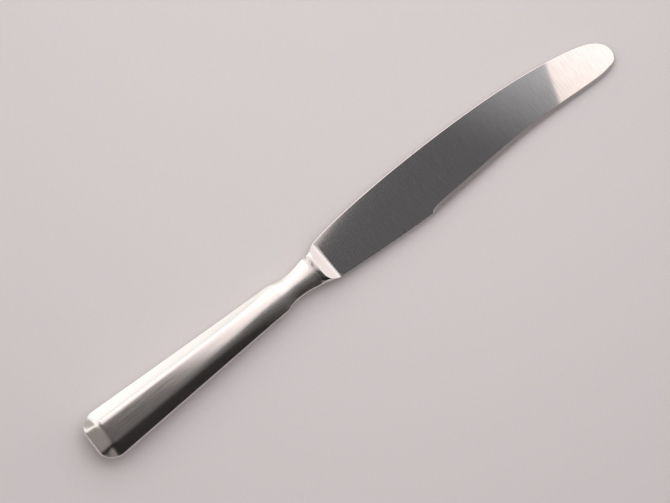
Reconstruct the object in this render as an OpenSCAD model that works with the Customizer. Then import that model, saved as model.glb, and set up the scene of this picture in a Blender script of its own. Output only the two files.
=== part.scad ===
// Dessert knife with a forged blade and a hollow two-piece handle, lying on its side.
// X runs from the butt to the tip, Y from the cutting edge to the spine, Z is up.
// All sizes are in millimetres.

/* [Handle] */
// Length of the handle, from the butt to its mouth
handle_len = 88.8; // [75:0.1:105]
// Width of the handle where the cut corners end
butt_w = 17.2; // [14:0.1:20]
// Thickness of the handle where the end bevel stops
butt_t = 10.4; // [9:0.1:13]
// Width of the flat butt end, before its corners are rounded
butt_flat_w = 10.8; // [9:0.1:12]
// Thickness of the flat butt end, before its edges are rounded
butt_flat_t = 5.2; // [4.4:0.1:6.5]
// Length of the cut corners, seen from above
butt_cut_len = 3.6; // [3:0.1:6]
// Length of the end bevel, seen from above
butt_end_len = 5.2; // [3:0.1:6]
// Rounding of the corners of the butt end, seen from above
butt_corner_r = 1.8; // [0.8:0.1:2.4]
// Rounding of the edges of the butt end, seen from the side
butt_edge_r = 0.9; // [0.4:0.05:1.2]
// Softness of the corners where the cuts meet the sides
butt_soft = 2.4; // [1:0.1:3]
// Softness of the edge where the end bevel meets the middle facet
butt_end_soft = 0.7; // [0.4:0.1:1.6]
// Width of the long middle facet at the butt
facet_w = 8.1; // [5:0.1:9]
// Height of the side wall at the butt
side_h = 4.4; // [3:0.1:5.5]
// Crispness of the middle facet's edges, higher is crisper
facet_crisp = 26; // [12:1:60]
// Crispness of the side walls' edges, higher is crisper
side_crisp = 60; // [30:1:80]
// Bulge of the facets, as a share of a full round
facet_crown = 0.22; // [0:0.02:0.4]
// Distance from the mouth back to the shoulder, where the straight taper ends
shoulder_back = 14; // [12:0.5:18]
// Width of the handle at the shoulder
shoulder_w = 10.4; // [9:0.1:14]
// Thickness of the handle at the shoulder
shoulder_t = 7.4; // [7:0.1:9]
// How much more steeply the width falls at the shoulder than along the taper
shoulder_drop = 0.85; // [0.2:0.05:1]
// Distance from the mouth back to the neck
neck_back = 8.5; // [6:0.1:10]
// Width of the neck
neck_w = 8.25; // [7.4:0.05:10]
// Thickness of the neck
neck_t = 6.9; // [6:0.1:8.4]
// Height of the side wall at the neck
neck_side_h = 3.6; // [2.6:0.1:4.4]
// Width of the mouth
mouth_w = 11; // [9.5:0.1:13]
// Thickness of the mouth
mouth_t = 7; // [6.6:0.1:9.4]

/* [Shell and filling] */
// Wall of the stamped half shells
wall = 0.6; // [0.4:0.05:0.9]
// Thickness of the solder between the half shells
seam = 0.12; // [0.06:0.02:0.3]
// Clearance between the filling and what it touches
fit_gap = 0.05; // [0.02:0.01:0.15]

/* [Bolster and tang] */
// Length of the bolster, from the mouth to the foot of its front bevel
bolster_len = 4.7; // [3.6:0.1:7]
// Width of the bolster at the foot of its front bevel
bolster_w = 13.9; // [12:0.1:16]
// Thickness that the bolster would grow to there without the bevel
bolster_t = 7.6; // [7:0.1:10]
// Length of the bolster's front bevel
bolster_bevel_len = 3.2; // [2:0.1:3.8]
// Radius of the hollow between the front bevel and the blade
bolster_fillet_r = 2; // [1:0.1:3.6]
// Length of the tang inside the handle
tang_len = 52; // [40:1:65]
// Width of the tang at the bolster
tang_w = 4.8; // [3.8:0.1:5.2]
// Width of the tang at its end
tang_end_w = 3.2; // [2.4:0.1:3.6]
// Thickness of the tang
tang_t = 2.8; // [2:0.1:3.2]
// Radius of the notches that key the tang in the filling
tang_notch_r = 0.5; // [0.3:0.05:0.7]
// Pairs of notches along the tang
tang_notch_pairs = 3; // [1:1:4]
// Distance between the pairs of notches
tang_notch_pitch = 9; // [6:0.5:9.5]

/* [Blade] */
// Length of the blade, from the bolster to the tip
blade_len = 116.5; // [95:0.1:135]
// Thickness of the blade at the bolster, on the handle's middle line
blade_root_t = 1.76; // [1.5:0.02:2.2]
// Thickness of the blade at the tip, on the handle's middle line
blade_tip_t = 0.96; // [0.9:0.02:1.3]
// Growth of the blade's thickness from the heel's edge to the top of the spine
blade_wedge_t = 1.1; // [0.6:0.02:1.2]
// Thickness of the cutting edge
edge_t = 0.24; // [0.16:0.02:0.3]
// Height of the spine over the handle's middle line, at its highest
crown_h = 9.85; // [8.5:0.05:11]
// Distance from the bolster to the highest point of the spine
crown_x = 44.5; // [35:0.5:55]
// Depth of the heel below the handle's middle line, where the cutting edge starts
heel_d = 9.47; // [8.5:0.05:11]
// Distance from the bolster to where the cutting edge starts
heel_len = 36.8; // [28:0.1:45]
// Distance from the tip back to the hollow of the cutting edge
hollow_back = 35.5; // [28:0.5:42]
// Depth of the cutting edge below the handle's middle line, at the hollow
hollow_d = 7.55; // [6.8:0.05:8.4]
// Distance from the tip back to where its rounding starts
tip_back = 8.7; // [7:0.1:11]
// Height of the spine over the handle's middle line, where the tip starts
tip_shoulder_h = 3.95; // [2.5:0.05:5]
// Depth of the nose of the tip below the handle's middle line
nose_d = 3.4; // [2:0.05:4.5]
// Depth of the belly of the tip below the handle's middle line
belly_d = 8.65; // [8:0.05:9.4]
// Width of the ground strip along the cutting edge, at the heel
grind_w = 1.4; // [0.8:0.05:1.8]
// Width of the ground strip along the cutting edge, at the tip
grind_tip_w = 0.7; // [0.5:0.05:1.2]
// Length over which the ground strip runs in at the heel
grind_run_len = 4.8; // [2:0.1:8]

/* [Hidden] */
$fn = 48;

// Stations along the handle, from the butt
shoulder_x = handle_len - shoulder_back;
neck_x = handle_len - neck_back;
front_x = handle_len + bolster_len;
total_len = front_x + blade_len;
// The handle carries crisp facets, which soften towards the neck, and the bolster is squarer
fade_x = shoulder_x / 2;
oval_crisp = 3;
bolster_crisp = 12;
bolster_share = 0.78;

// Widths and thicknesses at the butt, shoulder, neck, mouth and bolster front, then the fall at the shoulder
// and the length of the cut at the butt
widths = [butt_w, shoulder_w, neck_w, mouth_w, bolster_w, shoulder_drop, butt_cut_len];
depths = [butt_t, shoulder_t, neck_t, mouth_t, bolster_t, 0, butt_end_len];

// Slopes of the cut corners and of the end bevel
corner_slope = (butt_w - butt_flat_w) / 2 / butt_cut_len;
end_slope = (butt_t - butt_flat_t) / 2 / butt_end_len;
facet_share = facet_w / butt_w;
side_share = side_h / butt_t;
neck_side_share = neck_side_h / neck_t;
share_max = 0.85;

// Blade: slopes of its flat sides, lengthwise and crosswise
side_dx = (blade_tip_t - blade_root_t) / 2 / blade_len;
side_dy = blade_wedge_t / 2 / (crown_h + heel_d);
// Reach of tools that cut right through
reach = 30;

// The knife lies with its middle line over the origin and its lowest face at Z 0
rest_h = (butt_t + seam) / 2;

// Rings round the handle: points on half a ring, and stations along it; the close ones at the butt
// reach past the end of its cuts
ring_steps = 24;
cut_end = 1.3 * max(butt_cut_len, butt_end_len);
edge_rings = 6;
cut_rings = 6;
taper_rings = 7;
neck_rings = 12;
curve_steps = 14;

function soft_min(a, b, k) =
    let (h = max(k - abs(a - b), 0) / k)
    min(a, b) - h * h * k / 4;

function smooth(x, x0, x1) =
    let (t = min(max((x - x0) / (x1 - x0), 0), 1))
    t * t * (3 - 2 * t);

function mix(a, b, t) = a + (b - a) * t;

// Cubic from (x0, y0) with slope m0 to (x1, y1) with slope m1
function cubic(x, x0, y0, m0, x1, y1, m1) =
    let (h = x1 - x0, t = (x - x0) / h)
    y0 * (1 + 2 * t) * (1 - t) ^ 2 + m0 * h * t * (1 - t) ^ 2
    + y1 * t ^ 2 * (3 - 2 * t) + m1 * h * t ^ 2 * (t - 1);

// Bezier curve from a to d, without its first point
function bezier(a, b, c, d) =
    [for (i = [1 : curve_steps])
        let (t = i / curve_steps, s = 1 - t)
        s ^ 3 * a + 3 * s ^ 2 * t * b + 3 * s * t ^ 2 * c + t ^ 3 * d];

// Half the handle's size at x if its straight taper ran on: d holds the five sizes along it
function straight_half(x, d) =
    0.5 * (d[1] + (d[1] - d[0]) * (x - shoulder_x) / (shoulder_x - d[6]));

// Half the handle's size at x, before the butt is cut
function long_half(x, d) =
    let (taper = (d[1] - d[0]) / (shoulder_x - d[6]), flare = (d[4] - d[3]) / bolster_len)
    x < shoulder_x ? straight_half(x, d)
        : 0.5 * (x < neck_x ? cubic(x, shoulder_x, d[1], taper - d[5], neck_x, d[2], 0)
            : x < handle_len ? cubic(x, neck_x, d[2], 0, handle_len, d[3], flare)
            : d[3] + flare * (x - handle_len));

// How far a rounding of radius r at the butt end draws the surface in at x
function edge_inset(x, r) =
    let (u = max(r - max(x, 0), 0))
    r - sqrt(r ^ 2 - u ^ 2);

function half_w(x) =
    soft_min(long_half(x, widths), butt_flat_w / 2 + corner_slope * x, butt_soft)
    - edge_inset(x, butt_corner_r);

function half_t(x) =
    soft_min(long_half(x, depths), butt_flat_t / 2 + end_slope * x, butt_end_soft)
    - edge_inset(x, butt_edge_r);

// Radius of a soft-cornered octagon of half width 1 and half height 1, in the direction (c, s):
// f is the half width of its top facet, h the half height of its side,
// p how crisp the top facet's corners are and q the side's
function octagon_r(c, s, f, h, p, q) =
    let (a = (1 - h) * c / (1 - f * h),
        b = (1 - f) * s / (1 - f * h),
        side = (c ^ q + (a + b) ^ q) ^ (p / q))
    (side + s ^ p + abs(a - b) ^ p) ^ ((facet_crown - 1) / p);

// Upper half of the handle's outline at x, drawn in by inset all round
function half_ring(x, inset) =
    let (xi = x - inset,
        w = half_w(xi),
        t = half_t(xi),
        oval = smooth(xi, fade_x, neck_x),
        square = smooth(xi, handle_len - 2, handle_len + 1.2),
        f_long = min(facet_share * straight_half(xi, widths) / w, share_max),
        h_long = min(side_share * long_half(xi, depths) / t, share_max),
        f = mix(f_long, bolster_share, square),
        h = mix(mix(h_long, neck_side_share, oval), bolster_share, square),
        p = mix(mix(facet_crisp, oval_crisp, oval), bolster_crisp, square),
        q = mix(side_crisp, bolster_crisp, square),
        r_side = octagon_r(1, 0, f, h, p, q),
        r_top = octagon_r(0, 1, f, h, p, q))
    [for (i = [0 : ring_steps])
        let (a = 180 * i / ring_steps,
            c = cos(a),
            s = max(sin(a), 0),
            r = octagon_r(abs(c), s, f, h, p, q))
        [x, (w - inset) * c * r / r_side, (t - inset) * s * r / r_top + seam / 2]];

function mirrored(points) = [for (q = points) [q.x, q.y, -q.z]];
function reversed(list) = [for (i = [len(list) - 1 : -1 : 0]) list[i]];
function full_ring(x, inset) =
    let (upper = half_ring(x, inset))
    concat(upper, reversed(mirrored(upper)));

// Stations along the handle from start to its mouth, close together at the butt and the neck
function stations(start) =
    let (stretch = (handle_len - start) / handle_len)
    [for (x = concat(
            [for (i = [0 : edge_rings]) butt_corner_r * (1 - cos(90 * i / edge_rings))],
            [for (i = [1 : cut_rings]) butt_corner_r + (cut_end - butt_corner_r) * i / cut_rings],
            [for (i = [1 : taper_rings]) cut_end + (shoulder_x - cut_end) * i / taper_rings],
            [for (i = [1 : neck_rings]) shoulder_x + shoulder_back * i / neck_rings]))
        start + stretch * x];

// Two triangles for each cell of a grid of points, n points to a row, rows counted from first
function skin(first, rows, n, closed) =
    [for (i = [0 : rows - 2], j = [0 : n - (closed ? 1 : 2)])
        let (a = first + i * n + j, b = first + i * n + (j + 1) % n)
        each [[a, a + n, b], [b, a + n, b + n]]];

function flipped(faces) = [for (f = faces) reversed(f)];

// Triangles from each edge of a row of n points to a middle point
function fan(first, n, middle, closed) =
    [for (j = [0 : n - (closed ? 1 : 2)]) [first + j, first + (j + 1) % n, middle]];

// A solid through rings of equal length, closed by a flat face at each end
module loft(rings) {
    n = len(rings[0]);
    rows = len(rings);
    count = rows * n;
    middles = [for (r = [rings[0], rings[rows - 1]]) (r[0] + r[n / 2]) / 2];
    polyhedron(concat([for (r = rings) each r], middles),
        concat(skin(0, rows, n, true), fan(0, n, count, true), flipped(fan(count - n, n, count + 1, true))));
}

// One stamped half of the handle: an outer and an inner skin, joined at the rim and the mouth
module half_shell() {
    outer = [for (x = stations(0)) half_ring(x, 0)];
    inner = [for (x = stations(wall)) half_ring(x, wall)];
    n = ring_steps + 1;
    rows = len(outer);
    hole = rows * n;
    last = hole - n;
    butt = 2 * hole;
    pit = butt + 1;
    middles = [for (r = [outer[0], inner[0]]) (r[0] + r[n - 1]) / 2];
    rim = [for (j = [0, n - 1], i = [0 : rows - 2])
        let (a = i * n + j, q = [a, a + n, hole + a + n, hole + a])
        j == 0 ? reversed(q) : q];
    lip = [for (j = [0 : n - 2]) [hole + last + j, hole + last + j + 1, last + j + 1, last + j]];
    butt_rim = [[n - 1, hole + n - 1, pit, butt], [butt, pit, hole, 0]];
    polyhedron(concat([for (r = outer) each r], [for (r = inner) each r], middles),
        concat(skin(0, rows, n, false), flipped(skin(hole, rows, n, false)),
            fan(0, n, butt, false), flipped(fan(hole, n, pit, false)), rim, lip, butt_rim));
}

// The handle's outline on the seam, drawn in by inset, as a closed outline
module seam_outline(inset) {
    side = [for (x = stations(inset)) [x, half_ring(x, inset)[0].y]];
    polygon(concat(side, reversed([for (q = side) [q.x, -q.y]])));
}

// The tang's outline with its notches, grown by gap all round: it is rooted inside the bolster
module tang_outline(gap) {
    start = handle_len - tang_len;
    root = handle_len + bolster_len / 2;
    difference() {
        polygon([[start - gap, -tang_end_w / 2 - gap], [handle_len, -tang_w / 2 - gap],
            [root, -tang_w / 2 - gap], [root, tang_w / 2 + gap],
            [handle_len, tang_w / 2 + gap], [start - gap, tang_end_w / 2 + gap]]);
        for (i = [1 : tang_notch_pairs], side = [-1, 1])
            let (x = start + i * tang_notch_pitch,
                w = tang_end_w + (tang_w - tang_end_w) * (x - start) / tang_len)
            translate([x, side * (w / 2 + gap)]) circle(tang_notch_r);
    }
}

module tang(gap) {
    translate([0, 0, -tang_t / 2 - gap]) linear_extrude(tang_t + 2 * gap) tang_outline(gap);
}

// Half thickness of the blade at a point of its flat side
function side_z(x, y) = blade_root_t / 2 + side_dx * (x - front_x) + side_dy * y;

// Turning points of the blade's outline, from the top of the bolster round to its underside
heel_top = [front_x, bolster_w / 2];
crown = [front_x + crown_x, crown_h];
tip_shoulder = [total_len - tip_back, tip_shoulder_h];
nose = [total_len, -nose_d];
belly = [total_len - tip_back, -belly_d];
hollow = [total_len - hollow_back, -hollow_d];
heel_end = [front_x + heel_len, -heel_d];
heel_low = [front_x, -bolster_w / 2];

// Curve from a to b: p and q place its two pulls as shares of the way, lengthwise and crosswise
function curve(a, b, p, q) =
    let (d = b - a)
    bezier(a, [a.x + d.x * p.x, a.y + d.y * p.y], [a.x + d.x * q.x, a.y + d.y * q.y], b);

spine_curve = concat([heel_top],
    curve(heel_top, crown, [0.16, 0.55], [0.55, 1]),
    curve(crown, tip_shoulder, [0.35, 0], [0.72, 0.18]),
    curve(tip_shoulder, nose, [0.48, 0.155], [1, 0.52]));
belly_curve = curve(nose, belly, [0, 0.67], [0.3, 1]);
edge_curve = concat(
    curve(belly, hollow, [0.24, 0], [0.66, 1]),
    curve(hollow, heel_end, [0.27, 0], [0.36, 0.3]));
heel_curve = curve(heel_end, heel_low, [0.33, 0.16], [0.73, 0.64]);
under_curve = concat(belly_curve, edge_curve, heel_curve);

module blade_outline() {
    root_x = front_x - bolster_bevel_len;
    root_half = long_half(root_x, widths) - wall;
    polygon(concat([[root_x, root_half]], spine_curve, under_curve, [[root_x, -root_half]]));
}

// Everything below the blade's upper flat side
module under_side() {
    slant = norm([side_dx, side_dy, 1]);
    translate([front_x, 0, blade_root_t / 2])
        rotate([asin(side_dy / slant), -atan(side_dx), 0])
            translate([-total_len, -reach, -reach]) cube([2 * total_len, 2 * reach, reach]);
}

// Width of the ground strip at x, which runs in along a round from the end of the heel
function grind_at(x) =
    let (run = min(max((x - heel_end.x) / grind_run_len, 0), 1))
    x < heel_end.x ? -grind_w : grind_full(x) * sqrt(run * (2 - run));
function grind_full(x) = grind_w + (grind_tip_w - grind_w) * (x - heel_end.x) / (blade_len - heel_len);

// The wedge that grinding leaves standing, along the underside from the bolster to the nose
module ground_wedge() {
    path = concat([heel_low - [reach, 0]], reversed(under_curve), [nose, nose + [edge_t, 0]]);
    section = function (q)
        let (full = grind_full(q.x),
            rise = (side_z(q.x, q.y + full) - edge_t / 2) / full,
            foot = q.y + grind_at(q.x) - full,
            low = foot - edge_t / 4 / rise,
            high = foot + (reach / 4 - edge_t / 2) / rise,
            half = [[high + reach, reach / 4], [high, reach / 4], [low, edge_t / 4]])
        concat([for (v = half) [q.x, v[0], v[1]]], [for (v = reversed(half)) [q.x, v[0], -v[1]]]);
    loft([for (q = path) section(q)]);
}

// Oval body of the bolster, cut to a roof by its hollow front bevels
module bolster() {
    foot_z = blade_root_t / 2;
    ridge_z = long_half(front_x - bolster_bevel_len, depths);
    bevel_a = atan((ridge_z - foot_z) / bolster_bevel_len);
    back_z = foot_z + tan(bevel_a) * bolster_len;
    tangent = bolster_fillet_r * tan(bevel_a / 2);
    fillet_steps = 5;
    roof = concat([[handle_len, back_z]],
        [for (i = [0 : fillet_steps])
            let (a = bevel_a * (1 - i / fillet_steps))
            [front_x + tangent - bolster_fillet_r * sin(a),
                foot_z + side_dx * tangent + bolster_fillet_r * (1 - cos(a))]]);
    rings = 5;
    span = bolster_len + tangent;
    intersection() {
        loft([for (i = [0 : rings]) full_ring(handle_len + span * i / rings, 0)]);
        rotate([90, 0, 0]) linear_extrude(2 * reach, center = true)
            polygon(concat(roof, [for (q = reversed(roof)) [q.x, -q.y]]));
    }
}

module blade() {
    color("silver") {
        tang(0);
        bolster();
        intersection() {
            linear_extrude(reach, center = true) blade_outline();
            under_side();
            mirror([0, 0, 1]) under_side();
            ground_wedge();
        }
    }
}

module upper_handle_shell() {
    color("gainsboro") half_shell();
}

module lower_handle_shell() {
    color("lightgray") mirror([0, 0, 1]) half_shell();
}

module seam_solder() {
    color("darkgray") translate([0, 0, -seam / 2]) linear_extrude(seam) difference() {
        seam_outline(0);
        seam_outline(wall);
    }
}

module handle_cement() {
    inset = wall + fit_gap;
    color("dimgray") difference() {
        loft([for (x = stations(inset)) full_ring(x, inset)]);
        tang(fit_gap);
    }
}

module placed() {
    translate([-total_len / 2, 0, rest_h]) children();
}

placed() blade();
placed() upper_handle_shell();
placed() lower_handle_shell();
placed() seam_solder();
placed() handle_cement();
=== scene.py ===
"""Looks of a dessert knife: a forged steel blade in a hollow, silver-plated handle, on a pale table.

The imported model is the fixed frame. Sizes of the knife are in millimetres, counted from the butt along X,
from the handle's middle line along Y (towards the spine) and from the plane between the two half shells
along Z.
"""
import logging
import math
from dataclasses import dataclass, field
from enum import Enum
from typing import Any, NamedTuple

import bmesh
import bpy
import numpy as np
from mathutils import Matrix, Vector


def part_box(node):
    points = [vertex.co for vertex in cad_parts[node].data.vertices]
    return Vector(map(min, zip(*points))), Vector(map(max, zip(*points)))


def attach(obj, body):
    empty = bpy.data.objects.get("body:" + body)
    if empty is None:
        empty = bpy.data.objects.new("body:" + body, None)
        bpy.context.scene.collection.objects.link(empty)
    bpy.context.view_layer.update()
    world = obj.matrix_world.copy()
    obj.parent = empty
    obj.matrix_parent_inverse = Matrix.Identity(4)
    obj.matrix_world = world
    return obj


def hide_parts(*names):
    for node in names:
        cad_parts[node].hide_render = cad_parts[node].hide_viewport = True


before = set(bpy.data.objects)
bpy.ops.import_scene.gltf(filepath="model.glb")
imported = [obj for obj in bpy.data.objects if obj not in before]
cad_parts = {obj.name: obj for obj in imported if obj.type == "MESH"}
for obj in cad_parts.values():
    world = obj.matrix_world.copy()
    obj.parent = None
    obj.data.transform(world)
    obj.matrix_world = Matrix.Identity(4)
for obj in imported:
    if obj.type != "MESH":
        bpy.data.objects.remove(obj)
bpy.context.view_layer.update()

log = logging.getLogger("dessert_knife")

MM = 0.001
BODY = "root"
# Middle part of a noise's range, which holds nearly all of its values
NOISE_SPAN = (0.3, 0.7)

Pair = tuple[float, float]
Triple = tuple[float, float, float]
# The two pulls of a curve between two points, as shares of the way lengthwise and crosswise
Pulls = tuple[Pair, Pair]


class Side(Enum):
    """Which half of the handle a shell is, with the sign of its Z."""

    UPPER = 1
    LOWER = -1


class SteelZone(Enum):
    """How a stretch of the blade's surface was finished, with its material slot on the mesh."""

    BRUSHED = 0
    POLISHED = 1
    GROUND = 2
    FORGED = 3


class LampUse(Enum):
    """What a lamp is there for: the light on the table or the reflections in the metal."""

    TABLE = "table"
    MIRROR = "mirror"


def linear(code: str) -> tuple[float, float, float, float]:
    """Turns an sRGB hex colour into the linear colour that the shaders take.

    Args:
        code: the colour as "#RRGGBB".

    Returns:
        Linear red, green and blue, and an alpha of 1.
    """
    parts = [int(code[i:i + 2], 16) / 255 for i in (1, 3, 5)]
    lin = [p / 12.92 if p <= 0.04045 else ((p + 0.055) / 1.055) ** 2.4 for p in parts]
    return (lin[0], lin[1], lin[2], 1.0)


def smooth(x: Any, x0: float, x1: float) -> Any:
    """Smooth step from 0 at x0 to 1 at x1."""
    t = np.clip((x - x0) / (x1 - x0), 0, 1)
    return t * t * (3 - 2 * t)


def soft_min(a: Any, b: Any, k: float) -> Any:
    """The lower of a and b, with a rounded corner of size k."""
    h = np.maximum(k - np.abs(a - b), 0) / k
    return np.minimum(a, b) - h * h * k / 4


def soft_max(a: Any, b: Any, k: float) -> Any:
    """The higher of a and b, with a rounded corner of size k."""
    return -soft_min(-a, -b, k)


def mix(a: Any, b: Any, t: Any) -> Any:
    """The value at share t of the way from a to b."""
    return a + (b - a) * t


def cubic(x: float, start: Triple, end: Triple) -> float:
    """Cubic between two ends, each given by its place, height and slope.

    Args:
        x: where the curve is read.
        start: the end with the lower x.
        end: the other end.

    Returns:
        The curve's height at x.
    """
    (x0, y0, m0), (x1, y1, m1) = start, end
    h = x1 - x0
    t = (x - x0) / h
    rise = y0 * (1 + 2 * t) * (1 - t) ** 2 + m0 * h * t * (1 - t) ** 2
    return rise + y1 * t ** 2 * (3 - 2 * t) + m1 * h * t ** 2 * (t - 1)


def outline(points: tuple[Pair, ...], pulls: tuple[Pulls, ...], steps: int = 160) -> np.ndarray:
    """Draws a smooth line through turning points, with a Bezier curve from each to the next.

    Args:
        points: the turning points.
        pulls: the pulls of each curve.
        steps: stretches that a curve is drawn in.

    Returns:
        The line's points.
    """
    t = np.linspace(0, 1, steps + 1)[:, None]
    s = 1 - t
    line = [np.array(points[:1])]
    for a, b, shares in zip(np.array(points[:-1]), np.array(points[1:]), pulls):
        p, q = a + (b - a) * np.array(shares)
        curve = s ** 3 * a + 3 * s ** 2 * t * p + 3 * s * t ** 2 * q + t ** 3 * b
        line.append(curve[1:])
    return np.vstack(line)


def add_node(tree: bpy.types.NodeTree, kind: str, settings: dict[str, Any] | None = None,
             inputs: dict[Any, Any] | None = None) -> bpy.types.Node:
    """Adds one node to a tree, with its settings and links.

    Args:
        tree: the material's or world's node tree.
        kind: Blender's name for the node.
        settings: attributes of the node.
        inputs: socket name or number to a constant, or to the output socket that feeds it.

    Returns:
        The new node.
    """
    node = tree.nodes.new(kind)
    for name, value in (settings or {}).items():
        setattr(node, name, value)
    for key, value in (inputs or {}).items():
        if isinstance(value, bpy.types.NodeSocket):
            tree.links.new(value, node.inputs[key])
        else:
            node.inputs[key].default_value = value
    return node


def add_object(name: str, data: bpy.types.ID) -> bpy.types.Object:
    """Adds an object to the scene.

    Args:
        name: the object's name.
        data: its mesh, lamp or camera data.

    Returns:
        The object.
    """
    item = bpy.data.objects.new(name, data)
    bpy.context.scene.collection.objects.link(item)
    return item


def new_piece(name: str, points: np.ndarray, faces: list[tuple[int, ...]],
              sharp_deg: float) -> bpy.types.Object:
    """Makes a closed mesh object from points in the knife's own millimetres.

    Args:
        name: the object's name.
        points: corner points, in rows of x, y, z.
        faces: corner numbers of each face.
        sharp_deg: edges that turn by more than this stay sharp.

    Returns:
        The object, placed in the frame and smooth-shaded.
    """
    mesh = bpy.data.meshes.new(name)
    mesh.from_pydata([tuple(p) for p in points * MM], [], faces)
    work = bmesh.new()
    work.from_mesh(mesh)
    bmesh.ops.recalc_face_normals(work, faces=work.faces)
    work.to_mesh(mesh)
    work.free()
    mesh.polygons.foreach_set("use_smooth", [True] * len(mesh.polygons))
    mesh.set_sharp_from_angle(angle=math.radians(sharp_deg))
    return add_object(name, mesh)


def grid_faces(first: int, rows: int, n: int, closed: bool) -> list[tuple[int, ...]]:
    """Quads between rows of n points.

    Args:
        first: number of the first point.
        rows: rows of points.
        n: points in a row.
        closed: whether each row closes on itself.

    Returns:
        The faces.
    """
    span = n if closed else n - 1
    return [(first + i * n + j, first + i * n + (j + 1) % n,
             first + (i + 1) * n + (j + 1) % n, first + (i + 1) * n + j)
            for i in range(rows - 1) for j in range(span)]


class Sizes(NamedTuple):
    """Widths or thicknesses along the handle, the shoulder's fall and the length of the butt's cut."""

    butt: float
    shoulder: float
    neck: float
    mouth: float
    bolster: float
    fall: float
    cut: float


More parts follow.
